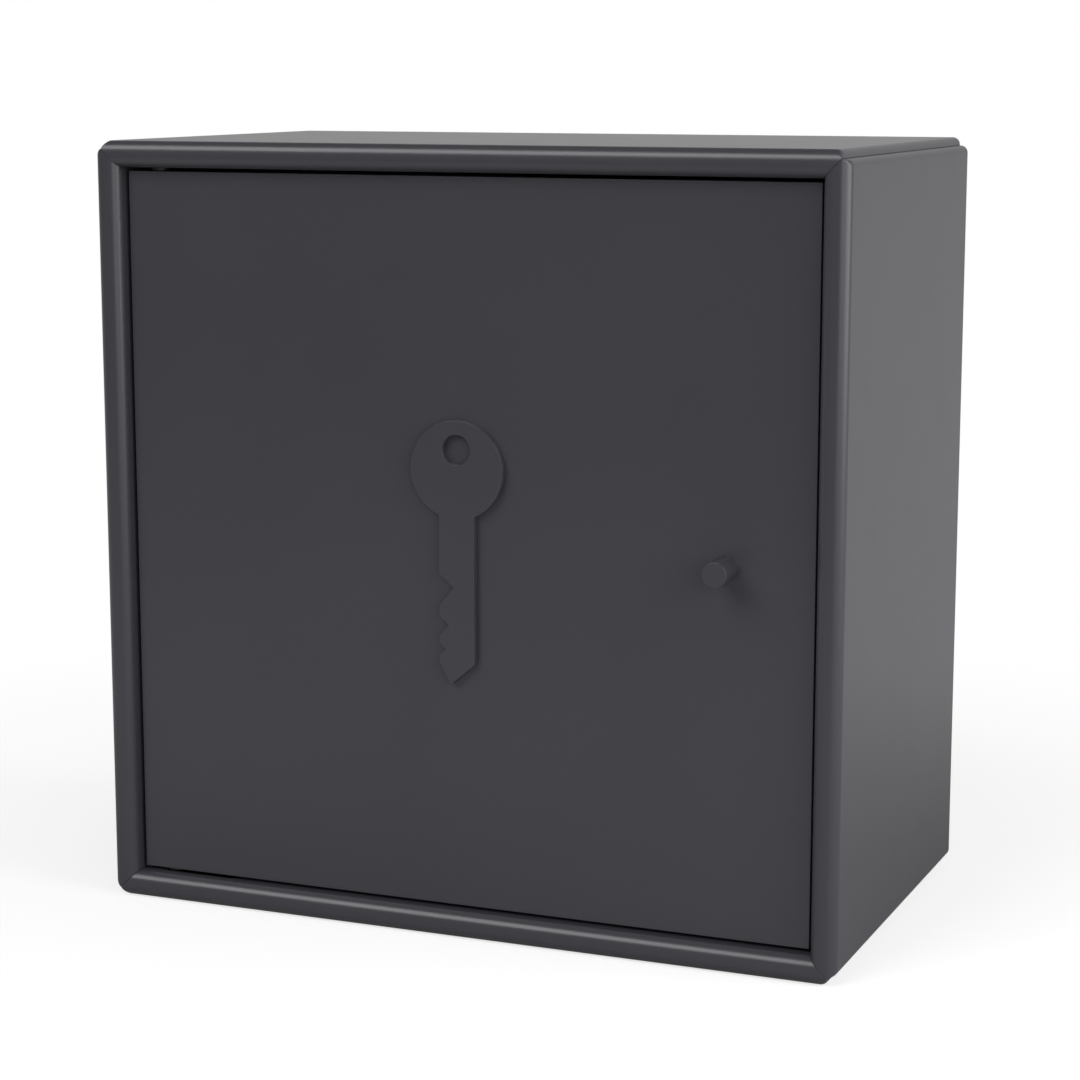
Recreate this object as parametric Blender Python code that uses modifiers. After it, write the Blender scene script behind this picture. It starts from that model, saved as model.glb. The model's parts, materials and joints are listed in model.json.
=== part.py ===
"""Wall-hung key cabinet: a mitred box of lacquered board with an inset door and hook rails inside.

Metres, +Z up. The front faces -Y and the wall side +Y. The origin is the middle of the underside.
Run with: blender --background --python part.py
"""

import math
from collections import namedtuple

import bmesh
import bpy
from mathutils import Matrix, Vector

# Carcass
CABINET_WIDTH = 0.354
CABINET_HEIGHT = 0.354
CABINET_DEPTH = 0.200
PANEL_THICKNESS = 0.012
FRONT_EDGE_RADIUS = 0.0050  # both front arrises of every panel, and round its ears
CORNER_STEP = 0.0038  # how far a panel's end stops short of its neighbour's outer face
CORNER_RADIUS = 0.0034  # rounding of that end
MITRE_GAP = 0.00015

# Clearances
FIT_GAP = 0.0003
GLUE_GAP = 0.00015
OVERRUN = 0.004  # how far every cutter runs past the face it opens

# Back panel, held in grooves all round
BACK_THICKNESS = 0.006
BACK_SETBACK = 0.012  # from the wall plane to the back panel's rear face
GROOVE_DEPTH = 0.005

# Loose tongues in the four mitres
TONGUE_THICKNESS = 0.003
TONGUE_WIDTH = 0.008
TONGUE_FRONT_SETBACK = 0.014
TONGUE_BACK_SETBACK = 0.008

# Door
DOOR_THICKNESS = 0.012
DOOR_GAP = 0.0017  # all round, between door and carcass
DOOR_RECESS = 0.0074  # the door's face behind the carcass's front plane
DOOR_EDGE_RADIUS = 0.0004

# Knob, a plain round peg
KNOB_RADIUS = 0.0055
KNOB_LENGTH = 0.0160
KNOB_ROUNDING = 0.0003
KNOB_EDGE_DISTANCE = 0.0395  # knob centre to the door's free edge
KNOB_THREAD_DEPTH = 0.010

# Key-shaped plate on the door
EMBLEM_THICKNESS = 0.003
EMBLEM_BOW_RADIUS = 0.0220
EMBLEM_HOLE_RADIUS = 0.0067
EMBLEM_HOLE_RISE = 0.0090
EMBLEM_SHANK_WIDTH = 0.0169
EMBLEM_BLADE_LENGTH = 0.0964  # bow centre to tip
EMBLEM_DROP = 0.0016  # its middle below the door's middle
EMBLEM_SHOULDER_SHARE = 0.898  # of the blade length, where the tip begins
EMBLEM_TIP_SHARE = -0.19  # of the shank width, the tip off the centre line
# Each notch: where it starts, is deepest and ends along the blade, and its depth across the shank
EMBLEM_NOTCH_SHARES = (
    (0.481, 0.546, 0.628, 0.41),
    (0.679, 0.721, 0.770, 0.26),
    (0.804, 0.836, 0.863, 0.17),
)

# Pivot hinges in the door's top and bottom edges
LEAF_THICKNESS = 0.002
LEAF_RADIUS = 0.0043  # half its width, and its round ends
LEAF_REACH = 0.030  # pin axis to the far round end's centre
LEAF_SCREW_GRIP = 0.009  # screw length inside the board
PIN_RADIUS = 0.002
PIN_ENGAGEMENT = 0.006  # pin length above the door's leaf
PIN_RUNNING_GAP = 0.0003
WASHER_RADIUS = 0.0040
SWING_CLEARANCE = 0.0004  # the door's turning corner to the side panel

# Magnetic catch and its strike plate
CATCH_HEIGHT = 0.044
CATCH_BODY_HEIGHT = 0.026
CATCH_PROJECTION = 0.0135
CATCH_EAR_THICKNESS = 0.003
CATCH_DEPTH = 0.016
CATCH_ROUNDING = 0.0015
CATCH_WALL = 0.0018
POLE_THICKNESS = 0.0014
POLE_PROUD = 0.0006  # poles stand out of the housing by this
MAGNET_THICKNESS = 0.0045
MAGNET_DEPTH = 0.012
MAGNET_SETBACK = 0.0012  # magnet behind the tips of its poles
STRIKE_THICKNESS = 0.0012
STRIKE_HEIGHT = 0.034
STRIKE_ROUNDING = 0.0025
STRIKE_EDGE_DISTANCE = 0.0012  # strike to the door's free edge

# Hook rails, screwed on from behind
RAIL_HEIGHT = 0.034
RAIL_THICKNESS = 0.012
RAIL_END_GAP = 0.014
RAIL_ROUNDING = 0.0020
RAIL_HEIGHT_SHARES = (0.74, 0.42)  # rail centres, of the cabinet's height
RAIL_NAMES = ("upper", "lower")
HOOKS_PER_RAIL = 5
HOOK_END_INSET = 0.030  # outermost hooks to the rail's ends

# Turned hooks
HOOK_REACH = 0.024
HOOK_STEM_RADIUS = 0.0021
HOOK_HEAD_RADIUS = 0.0040
HOOK_NECK_LENGTH = 0.0030
HOOK_COLLAR_RADIUS = 0.0045
HOOK_COLLAR_THICKNESS = 0.0014
HOOK_TENON_RADIUS = 0.0025
HOOK_TENON_LENGTH = 0.008

# Wall hangers in the recess behind the back panel
HANGER_THICKNESS = 0.0015
HANGER_HEIGHT = 0.042
HANGER_WIDTH = 0.030
HANGER_BEND_RADIUS = 0.0012
HANGER_WALL_SETBACK = 0.0012
HANGER_TOP_GAP = 0.006
KEYHOLE_ENTRY_RADIUS = 0.0048
KEYHOLE_SLOT_RADIUS = 0.0024
KEYHOLE_RISE = 0.011
HANGER_SCREW_SPACING = 0.026

# Screws
SCREW_COVER = 0.003  # board left beyond a screw's tip
SMALL_SCREW_RADIUS = 0.0013
SMALL_SCREW_HEAD_RADIUS = 0.0026
SMALL_SCREW_HEAD_HEIGHT = 0.0014
WOOD_SCREW_RADIUS = 0.0016
WOOD_SCREW_HEAD_RADIUS = 0.0034
WOOD_SCREW_HEAD_HEIGHT = 0.0020
KNOB_SCREW_RADIUS = 0.0020
KNOB_SCREW_HEAD_RADIUS = 0.0040
KNOB_SCREW_HEAD_HEIGHT = 0.0024
RECESS_WIDTH_SHARE = 0.30  # of the head's radius, the cross recess's arm at its root
RECESS_TIP_SHARE = 0.75  # of that width, at the arm's tip
RECESS_REACH_SHARE = 0.58  # of the head's radius
RECESS_DEPTH_SHARE = 0.55  # of the head's height

# Facets
CORNER_STEPS = 8
SMALL_CORNER_STEPS = 4
FINE_STEPS = 48
LATHE_STEPS = 16
SCREW_STEPS = 12
SMOOTH_ANGLE = math.radians(35)
WELD_DISTANCE = 0.000002

# Places worked out from the sizes above
HALF_WIDTH = CABINET_WIDTH / 2
HALF_HEIGHT = CABINET_HEIGHT / 2
FRONT_Y = -CABINET_DEPTH / 2
REAR_Y = CABINET_DEPTH / 2
INNER_X = HALF_WIDTH - PANEL_THICKNESS
INNER_BOTTOM = PANEL_THICKNESS
INNER_TOP = CABINET_HEIGHT - PANEL_THICKNESS
BACK_REAR_Y = REAR_Y - BACK_SETBACK
BACK_FRONT_Y = BACK_REAR_Y - BACK_THICKNESS
DOOR_FRONT_Y = FRONT_Y + DOOR_RECESS
DOOR_BACK_Y = DOOR_FRONT_Y + DOOR_THICKNESS
DOOR_X = INNER_X - DOOR_GAP
DOOR_BOTTOM = INNER_BOTTOM + DOOR_GAP
DOOR_TOP = INNER_TOP - DOOR_GAP
SWING_ROOM = DOOR_GAP - SWING_CLEARANCE
# The pin sits in the middle of the door's edge, just far enough in for the door's corners to turn
# past the side panel
PIN_INSET = ((DOOR_THICKNESS / 2) ** 2 - SWING_ROOM**2) / (2 * SWING_ROOM)
PIN_X = -DOOR_X + PIN_INSET
PIN_Y = DOOR_FRONT_Y + DOOR_THICKNESS / 2
POLE_FRONT_Y = DOOR_BACK_Y + FIT_GAP + STRIKE_THICKNESS + FIT_GAP

# Section planes: columns carry (u, v, extrusion) to X, Y and Z
ALONG_Z = Matrix.Identity(3)
ALONG_Y = Matrix(((1, 0, 0), (0, 0, -1), (0, 1, 0)))

OUT_OF_FRONT = Vector((0, -1, 0))
OUT_OF_BACK = Vector((0, 1, 0))
UP = Vector((0, 0, 1))
DOWN = Vector((0, 0, -1))

Screw = namedtuple("Screw", "radius head_radius head_height countersunk")
SMALL_SCREW = Screw(SMALL_SCREW_RADIUS, SMALL_SCREW_HEAD_RADIUS, SMALL_SCREW_HEAD_HEIGHT, True)
WOOD_SCREW = Screw(WOOD_SCREW_RADIUS, WOOD_SCREW_HEAD_RADIUS, WOOD_SCREW_HEAD_HEIGHT, True)
PAN_SCREW = Screw(WOOD_SCREW_RADIUS, WOOD_SCREW_HEAD_RADIUS, WOOD_SCREW_HEAD_HEIGHT, False)
KNOB_SCREW = Screw(KNOB_SCREW_RADIUS, KNOB_SCREW_HEAD_RADIUS, KNOB_SCREW_HEAD_HEIGHT, False)


# Scene, collections and materials


def clear_scene():
    for obj in list(bpy.data.objects):
        bpy.data.objects.remove(obj, do_unlink=True)


def new_collection(name):
    collection = bpy.data.collections.new(name)
    bpy.context.scene.collection.children.link(collection)
    return collection


def new_material(name, colour, roughness, metallic):
    material = bpy.data.materials.new(name)
    material.use_nodes = True
    shader = material.node_tree.nodes["Principled BSDF"]
    shader.inputs["Base Color"].default_value = (*colour, 1)
    shader.inputs["Roughness"].default_value = roughness
    shader.inputs["Metallic"].default_value = metallic
    material.diffuse_color = (*colour, 1)
    return material


clear_scene()
PARTS = new_collection("Key cabinet")
CUTTERS = new_collection("Cutters")
LACQUER = new_material("anthracite lacquer", (0.018, 0.017, 0.024), 0.32, 0.0)
RAW_BOARD = new_material("raw fibreboard", (0.42, 0.29, 0.17), 0.85, 0.0)
STEEL = new_material("zinc-plated steel", (0.56, 0.57, 0.58), 0.32, 1.0)
NICKEL = new_material("satin nickel", (0.62, 0.60, 0.56), 0.28, 1.0)
FERRITE = new_material("ferrite magnet", (0.05, 0.05, 0.055), 0.6, 0.0)
DARK_PLASTIC = new_material("dark plastic", (0.035, 0.035, 0.038), 0.5, 0.0)


# Shapes


def rounded(corners, steps=CORNER_STEPS):
    """Outline through (u, v, radius) corners, with an arc at each corner that has a radius."""
    outline = []
    for i, (u, v, radius) in enumerate(corners):
        here = Vector((u, v))
        if radius == 0:
            outline.append((u, v))
            continue
        before = (Vector(corners[i - 1][:2]) - here).normalized()
        after = (Vector(corners[(i + 1) % len(corners)][:2]) - here).normalized()
        half = before.angle(after) / 2
        centre = here + (before + after).normalized() * (radius / math.sin(half))
        start = here + before * (radius / math.tan(half)) - centre
        end = here + after * (radius / math.tan(half)) - centre
        turn = math.atan2(start.x * end.y - start.y * end.x, start.dot(end))
        for step in range(steps + 1):
            spoke = Matrix.Rotation(turn * step / steps, 2) @ start
            outline.append(tuple(centre + spoke))
    return outline


def arc(centre, radius, start, end, steps):
    """Points of an arc in a section plane; angles are in degrees."""
    points = []
    for step in range(steps + 1):
        angle = math.radians(start + (end - start) * step / steps)
        points.append((centre[0] + radius * math.cos(angle), centre[1] + radius * math.sin(angle)))
    return points


def circle(centre, radius, steps):
    return arc(centre, radius, 0, 360, steps)[:-1]


def link(obj, material):
    """Files an object with the parts, or with the cutters where it has no material."""
    if material is None:
        CUTTERS.objects.link(obj)
        obj.hide_render = True
        obj.display_type = "WIRE"
    else:
        PARTS.objects.link(obj)
        obj.data.materials.clear()
        obj.data.materials.append(material)
    return obj


def smooth(mesh):
    mesh.shade_smooth()
    mesh.set_sharp_from_angle(angle=SMOOTH_ANGLE)


def evaluated_mesh(obj):
    bpy.context.view_layer.update()
    graph = bpy.context.evaluated_depsgraph_get()
    return bpy.data.meshes.new_from_object(obj.evaluated_get(graph))


def prism(name, outlines, depth, place, plane=ALONG_Z, material=None):
    """A solid of constant outline: a filled flat curve extruded both ways. Further outlines are holes."""
    curve = bpy.data.curves.new(name, "CURVE")
    curve.dimensions = "2D"
    curve.fill_mode = "BOTH"
    curve.extrude = depth / 2
    for outline in outlines:
        spline = curve.splines.new("POLY")
        spline.points.add(len(outline) - 1)
        spline.use_cyclic_u = True
        for point, (u, v) in zip(spline.points, outline):
            point.co = (u, v, 0, 1)
    flat = bpy.data.objects.new(name + " outline", curve)
    bpy.context.scene.collection.objects.link(flat)
    mesh = evaluated_mesh(flat)
    bpy.data.objects.remove(flat)
    weld_and_face_out(mesh)
    smooth(mesh)
    solid = bpy.data.objects.new(name, mesh)
    solid.matrix_world = Matrix.Translation(place) @ plane.to_4x4()
    return link(solid, material)


def weld_and_face_out(mesh):
    shape = bmesh.new()
    shape.from_mesh(mesh)
    bmesh.ops.remove_doubles(shape, verts=shape.verts, dist=WELD_DISTANCE)
    bmesh.ops.recalc_face_normals(shape, faces=shape.faces)
    shape.to_mesh(mesh)
    shape.free()


def block(name, low, high, material=None, rounding=0.0, rounding_steps=3):
    """A box between two corners, with all its edges rounded where a rounding is given."""
    low = Vector(low)
    high = Vector(high)
    size = high - low
    mesh = bpy.data.meshes.new(name)
    shape = bmesh.new()
    bmesh.ops.create_cube(shape, size=1, matrix=Matrix.Diagonal((*size, 1)))
    shape.to_mesh(mesh)
    shape.free()
    smooth(mesh)
    solid = bpy.data.objects.new(name, mesh)
    solid.location = (low + high) / 2
    if rounding:
        bevel = solid.modifiers.new("Rounded edges", "BEVEL")
        bevel.width = rounding
        bevel.segments = rounding_steps
        bevel.limit_method = "ANGLE"
    return link(solid, material)


def aim(direction):
    """Rotation that carries +Z to a direction."""
    return Vector(direction).to_track_quat("Z", "Y").to_matrix()


def bore(name, radius, start, end, steps=LATHE_STEPS):
    """A round cutter between two points."""
    start = Vector(start)
    end = Vector(end)
    mesh = bpy.data.meshes.new(name)
    shape = bmesh.new()
    bmesh.ops.create_cone(
        shape, cap_ends=True, segments=steps, radius1=radius, radius2=radius, depth=(end - start).length
    )
    shape.to_mesh(mesh)
    shape.free()
    cutter = bpy.data.objects.new(name, mesh)
    cutter.matrix_world = Matrix.Translation((start + end) / 2) @ aim(end - start).to_4x4()
    return link(cutter, None)


def turned(name, profile, steps=LATHE_STEPS):
    """A turned solid's mesh. The (radius, height) profile runs from the axis's top down the outside."""
    mesh = bpy.data.meshes.new(name)
    shape = bmesh.new()
    verts = [shape.verts.new((radius, 0, height)) for radius, height in profile]
    for first, second in zip(verts, verts[1:]):
        shape.edges.new((first, second))
    shape.to_mesh(mesh)
    shape.free()
    blank = bpy.data.objects.new(name, mesh)
    bpy.context.scene.collection.objects.link(blank)
    screw = blank.modifiers.new("Turn", "SCREW")
    screw.axis = "Z"
    screw.steps = steps
    screw.render_steps = steps
    screw.use_merge_vertices = True
    screw.merge_threshold = WELD_DISTANCE
    solid = evaluated_mesh(blank)
    bpy.data.objects.remove(blank)
    weld_and_face_out(solid)
    smooth(solid)
    return solid


def place_mesh(name, mesh, place, direction, material=None):
    """An object that shows a shared mesh, its +Z aimed along a direction."""
    obj = bpy.data.objects.new(name, mesh)
    obj.matrix_world = Matrix.Translation(place) @ aim(direction).to_4x4()
    return link(obj, material)


def cut(targets, cutter):
    """Takes a cutter out of each target. One Boolean subtracts all cutters of a target together."""
    for target in targets:
        group = target.get("cutters")
        if group is None:
            group = bpy.data.collections.new(target.name + " cutters")
            CUTTERS.children.link(group)
            target["cutters"] = group
            modifier = target.modifiers.new("Cuts", "BOOLEAN")
            modifier.solver = "EXACT"
            modifier.operand_type = "COLLECTION"
            modifier.collection = group
        group.objects.link(cutter)


# Screws


def screw_profile(kind, length):
    """Half section of a screw. Height 0 is a countersunk head's face, or a domed head's underside."""
    if kind.countersunk:
        head = [(0, 0), (kind.head_radius, 0), (kind.radius, -kind.head_height)]
    else:
        dome = kind.head_height / 2
        head = [
            (0, kind.head_height),
            (kind.head_radius - dome, kind.head_height),
            (kind.head_radius, dome),
            (kind.head_radius, 0),
            (kind.radius, 0),
        ]
    return head + [(kind.radius, 2 * kind.radius - length), (0, -length)]


def screw_hole_profile(kind, length):
    """Half section of the hole that a screw needs, open above the board's face."""
    shank = kind.radius + FIT_GAP
    mouth = kind.head_radius + FIT_GAP if kind.countersunk else shank
    top = [(0, OVERRUN), (mouth, OVERRUN)]
    if kind.countersunk:
        top += [(mouth, 0), (shank, -kind.head_height - FIT_GAP)]
    return top + [(shank, 2 * kind.radius - length), (0, -length - FIT_GAP)]


def screw_mesh(kind, length):
    """The screw's mesh, with its cross recess cut."""
    blank = bpy.data.objects.new("Screw blank", turned("Screw", screw_profile(kind, length), SCREW_STEPS))
    bpy.context.scene.collection.objects.link(blank)
    arm = kind.head_radius * RECESS_WIDTH_SHARE / 2
    tip = arm * RECESS_TIP_SHARE
    reach = kind.head_radius * RECESS_REACH_SHARE
    cross = [
        (arm, arm), (tip, reach), (-tip, reach), (-arm, arm), (-reach, tip), (-reach, -tip),
        (-arm, -arm), (-tip, -reach), (tip, -reach), (arm, -arm), (reach, -tip), (reach, tip),
    ]
    face = 0 if kind.countersunk else kind.head_height
    sunk = kind.head_height * RECESS_DEPTH_SHARE
    recess = prism("Recess cutter", [cross], 2 * sunk, (0, 0, face))
    modifier = blank.modifiers.new("Cross recess", "BOOLEAN")
    modifier.solver = "EXACT"
    modifier.object = recess
    mesh = evaluated_mesh(blank)
    bpy.data.objects.remove(blank)
    bpy.data.objects.remove(recess)
    smooth(mesh)
    return mesh


SCREW_MESHES = {}


def drive_screw(name, kind, length, place, outward, boards, material=STEEL):
    """A screw with its head at a place on a surface, and its clearance cut from the boards it passes."""
    key = (kind, round(length, 6))
    if key not in SCREW_MESHES:
        hole = turned("Screw hole", screw_hole_profile(kind, length), SCREW_STEPS)
        SCREW_MESHES[key] = (screw_mesh(kind, length), hole)
    mesh, hole = SCREW_MESHES[key]
    # A countersunk head lies just under the surface, and a domed one stands just off it
    lift = -GLUE_GAP if kind.countersunk else FIT_GAP
    place = Vector(place) + Vector(outward) * lift
    cut(boards, place_mesh(name + " hole", hole, place, outward))
    return place_mesh(name, mesh, place, outward, material)


# Carcass


def front_inset(turn_share):
    """How deep and how far in the front rounding is, at a share of its quarter turn."""
    radius = min(FRONT_EDGE_RADIUS, PANEL_THICKNESS / 2 - MITRE_GAP)
    turn = math.radians(90) * turn_share
    return radius * (1 - math.cos(turn)), radius * (1 - math.sin(turn))


def panel_section(span, inset):
    """Section of a carcass panel over its span, its long edges an inset in; the inner face is at v = 0.

    The mitred ends stay in their planes. Each ends in an ear, whose rounding shrinks with the inset
    until the outer edge runs straight into the mitre.
    """
    shift = MITRE_GAP / math.sqrt(2)
    mitre = span / 2 - PANEL_THICKNESS - shift
    outer = PANEL_THICKNESS - inset
    notch = min(PANEL_THICKNESS - CORNER_STEP + shift, outer)
    ear = mitre + notch
    radius = min(CORNER_RADIUS, outer - notch)
    end = arc((ear - radius, outer - radius), radius, 0, 90, CORNER_STEPS)
    half = [(mitre + inset, inset), (ear, notch)] + end
    return half + [(-u, v) for u, v in reversed(half)]


def loft(name, sections, plane, material):
    """A solid through outlines of equally many points, each at its own height across the plane."""
    mesh = bpy.data.meshes.new(name)
    shape = bmesh.new()
    rings = [[shape.verts.new((u, v, height)) for u, v in outline] for height, outline in sections]
    for ring, following in zip(rings, rings[1:]):
        for i, corner in enumerate(ring):
            shape.faces.new((ring[i - 1], corner, following[i], following[i - 1]))
    shape.faces.new(rings[0])
    shape.faces.new(rings[-1])
    shape.to_mesh(mesh)
    shape.free()
    weld_and_face_out(mesh)
    smooth(mesh)
    solid = bpy.data.objects.new(name, mesh)
    solid.matrix_world = plane.to_4x4()
    return link(solid, material)


def carcass_panel(name, span, turn, place):
    """One of the four mitred panels, turned about the depth axis."""
    sections = []
    for step in range(CORNER_STEPS + 1):
        depth, inset = front_inset(step / CORNER_STEPS)
        sections.append((-FRONT_Y - depth, panel_section(span, inset)))
    sections.append((-REAR_Y, panel_section(span, 0)))
    panel = loft(name, sections, ALONG_Y, LACQUER)
    stand = Matrix.Translation(place) @ Matrix.Rotation(math.radians(turn), 4, "Y")
    panel.matrix_world = stand @ panel.matrix_world
    return panel


def make_carcass():
    panels = {
        "top": carcass_panel("top_panel", CABINET_WIDTH, 0, (0, 0, INNER_TOP)),
        "right": carcass_panel("right_side_panel", CABINET_HEIGHT, 90, (INNER_X, 0, HALF_HEIGHT)),
        "bottom": carcass_panel("bottom_panel", CABINET_WIDTH, 180, (0, 0, INNER_BOTTOM)),
        "left": carcass_panel("left_side_panel", CABINET_HEIGHT, 270, (-INNER_X, 0, HALF_HEIGHT)),
    }
    reach = GROOVE_DEPTH
    groove = block(
        "Back groove",
        (-INNER_X - reach, BACK_FRONT_Y - FIT_GAP, INNER_BOTTOM - reach),
        (INNER_X + reach, BACK_REAR_Y + FIT_GAP, INNER_TOP + reach),
    )
    cut(panels.values(), groove)
    return panels


def make_back():
    reach = GROOVE_DEPTH - FIT_GAP
    return block(
        "back_panel",
        (-INNER_X - reach, BACK_FRONT_Y, INNER_BOTTOM - reach),
        (INNER_X + reach, BACK_REAR_Y, INNER_TOP + reach),
        LACQUER,
    )


def tongue_outline(grow):
    across = TONGUE_WIDTH / 2 + grow
    along = TONGUE_THICKNESS / 2 + grow
    return [(-across, -along), (across, -along), (across, along), (-across, along)]


def make_tongues(panels):
    """A loose tongue across each mitre, halfway between the inner corner and the notch."""
    inward = (PANEL_THICKNESS + CORNER_STEP) / 2
    front = FRONT_Y + TONGUE_FRONT_SETBACK
    back = BACK_FRONT_Y - TONGUE_BACK_SETBACK
    length = back - front
    tongues = []
    for side, sign in (("left", -1), ("right", 1)):
        for level, height in (("bottom", inward), ("top", CABINET_HEIGHT - inward)):
            lean = 45 * sign * (1 if level == "top" else -1)
            place = (sign * (HALF_WIDTH - inward), (front + back) / 2, height)
            spin = Matrix.Rotation(math.radians(lean), 4, "Y")
            name = "mitre_tongue_" + level + "_" + side
            slot_length = length + 2 * FIT_GAP
            tongue = prism(name, [tongue_outline(0)], length, (0, 0, 0), ALONG_Y, RAW_BOARD)
            slot = prism(name + " slot", [tongue_outline(FIT_GAP)], slot_length, (0, 0, 0), ALONG_Y)
            for piece in (tongue, slot):
                piece.matrix_world = Matrix.Translation(place) @ spin @ piece.matrix_world
            cut((panels[side], panels[level]), slot)
            tongues.append(tongue)
    return tongues


# Hook rails


def hook_mesh():
    """A turned hook: tenon, collar, slim stem and a domed head. Its height 0 is the rail's face."""
    neck = HOOK_REACH - HOOK_HEAD_RADIUS
    dome = arc((0, neck), HOOK_HEAD_RADIUS, 90, 0, SMALL_CORNER_STEPS)
    stem = [
        (HOOK_STEM_RADIUS, neck - HOOK_NECK_LENGTH),
        (HOOK_STEM_RADIUS, HOOK_COLLAR_THICKNESS + FIT_GAP),
        (HOOK_COLLAR_RADIUS, HOOK_COLLAR_THICKNESS + FIT_GAP),
        (HOOK_COLLAR_RADIUS, FIT_GAP),
        (HOOK_TENON_RADIUS, FIT_GAP),
        (HOOK_TENON_RADIUS, -HOOK_TENON_LENGTH),
        (0, -HOOK_TENON_LENGTH),
    ]
    return turned("Hook", dome + stem, SCREW_STEPS)


def make_rails(back):
    pieces = []
    hook = hook_mesh()
    half = INNER_X - RAIL_END_GAP
    rail_back = BACK_FRONT_Y - FIT_GAP
    rail_front = rail_back - RAIL_THICKNESS
    spacing = 2 * (half - HOOK_END_INSET) / (HOOKS_PER_RAIL - 1)
    screw_length = BACK_THICKNESS + FIT_GAP + RAIL_THICKNESS - SCREW_COVER
    for name, share in zip(RAIL_NAMES, RAIL_HEIGHT_SHARES):
        height = CABINET_HEIGHT * share
        rail = block(
            "hook_rail_" + name,
            (-half, rail_front, height - RAIL_HEIGHT / 2),
            (half, rail_back, height + RAIL_HEIGHT / 2),
            LACQUER,
            RAIL_ROUNDING,
        )
        pieces.append(rail)
        for number in range(HOOKS_PER_RAIL):
            face = Vector((HOOK_END_INSET - half + number * spacing, rail_front, height))
            label = "key_hook_" + name + "_" + str(number + 1)
            mouth = face + OUT_OF_FRONT * OVERRUN
            end = face + OUT_OF_BACK * (HOOK_TENON_LENGTH + FIT_GAP)
            cut((rail,), bore(label + " socket", HOOK_TENON_RADIUS + FIT_GAP, mouth, end, SCREW_STEPS))
            pieces.append(place_mesh(label, hook, face, OUT_OF_FRONT, NICKEL))
        for side, sign in (("left", -1), ("right", 1)):
            place = (sign * (half - HOOK_END_INSET - spacing / 2), BACK_REAR_Y, height)
            label = "rail_screw_" + name + "_" + side
            pieces.append(drive_screw(label, WOOD_SCREW, screw_length, place, OUT_OF_BACK, (back, rail)))
    return pieces


# Wall hangers


def keyhole_outline():
    """A round entry with a narrow slot above it, around the entry's centre."""
    opening = math.degrees(math.asin(KEYHOLE_SLOT_RADIUS / KEYHOLE_ENTRY_RADIUS))
    entry = arc((0, 0), KEYHOLE_ENTRY_RADIUS, 90 + opening, 450 - opening, LATHE_STEPS)
    slot = arc((0, KEYHOLE_RISE), KEYHOLE_SLOT_RADIUS, 0, 180, SMALL_CORNER_STEPS)
    return entry + slot


def make_hangers(panels):
    """Bent steel plates in the upper rear corners, each with a keyhole for a wall screw."""
    pieces = []
    plate_rear = REAR_Y - HANGER_WALL_SETBACK
    plate_front = plate_rear - HANGER_THICKNESS
    leg_front = BACK_REAR_Y + FIT_GAP
    top = INNER_TOP - HANGER_TOP_GAP
    middle = top - HANGER_HEIGHT / 2
    bend = HANGER_BEND_RADIUS
    for side, sign in (("left", -1), ("right", 1)):
        wall = sign * (INNER_X - FIT_GAP)
        inside = wall - sign * HANGER_THICKNESS
        far = wall - sign * HANGER_WIDTH
        section = rounded([
            (wall, leg_front, 0), (wall, plate_rear, bend + HANGER_THICKNESS), (far, plate_rear, 0),
            (far, plate_front, 0), (inside, plate_front, bend), (inside, leg_front, 0),
        ], SMALL_CORNER_STEPS)
        hanger = prism("wall_hanger_" + side, [section], HANGER_HEIGHT, (0, 0, middle), ALONG_Z, STEEL)
        keyhole_x = (far + inside) / 2
        entry = (keyhole_x, plate_rear, middle - KEYHOLE_RISE / 2)
        cut((hanger,), prism("Keyhole " + side, [keyhole_outline()], 2 * OVERRUN, entry, ALONG_Y))
        pieces.append(hanger)
        screw_y = (leg_front + plate_front - bend) / 2
        for level, offset in (("lower", -HANGER_SCREW_SPACING / 2), ("upper", HANGER_SCREW_SPACING / 2)):
            place = (inside, screw_y, middle + offset)
            length = HANGER_THICKNESS + FIT_GAP + PANEL_THICKNESS - SCREW_COVER
            label = "hanger_screw_" + side + "_" + level
            outward = Vector((-sign, 0, 0))
            pieces.append(drive_screw(label, PAN_SCREW, length, place, outward, (hanger, panels[side])))
    return pieces


# Door


def make_door():
    return block(
        "door_panel",
        (-DOOR_X, DOOR_FRONT_Y, DOOR_BOTTOM),
        (DOOR_X, DOOR_BACK_Y, DOOR_TOP),
        LACQUER,
        DOOR_EDGE_RADIUS,
    )


def emblem_outline():
    """A house key seen from the side: round bow, straight back, notched blade and skewed tip."""
    half = EMBLEM_SHANK_WIDTH / 2
    join = math.degrees(math.asin(half / EMBLEM_BOW_RADIUS))
    bow = arc((0, 0), EMBLEM_BOW_RADIUS, -90 + join, 270 - join, FINE_STEPS)
    blade = []
    for start, deepest, end, depth in EMBLEM_NOTCH_SHARES:
        blade.append((-half, -EMBLEM_BLADE_LENGTH * start))
        blade.append((-half + EMBLEM_SHANK_WIDTH * depth, -EMBLEM_BLADE_LENGTH * deepest))
        blade.append((-half, -EMBLEM_BLADE_LENGTH * end))
    shoulder = -EMBLEM_BLADE_LENGTH * EMBLEM_SHOULDER_SHARE
    tip = [
        (-half, shoulder),
        (EMBLEM_SHANK_WIDTH * EMBLEM_TIP_SHARE, -EMBLEM_BLADE_LENGTH),
        (half, shoulder),
    ]
    return bow + blade + tip


def make_emblem():
    """The key-shaped plate, upright on the door's middle line and glued to its face."""
    bow_height = HALF_HEIGHT - EMBLEM_DROP + (EMBLEM_BLADE_LENGTH - EMBLEM_BOW_RADIUS) / 2
    hole = circle((0, EMBLEM_HOLE_RISE), EMBLEM_HOLE_RADIUS, FINE_STEPS)
    place = (0, DOOR_FRONT_Y - GLUE_GAP - EMBLEM_THICKNESS / 2, bow_height)
    return prism("key_emblem", [emblem_outline(), hole], EMBLEM_THICKNESS, place, ALONG_Y, LACQUER)


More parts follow.
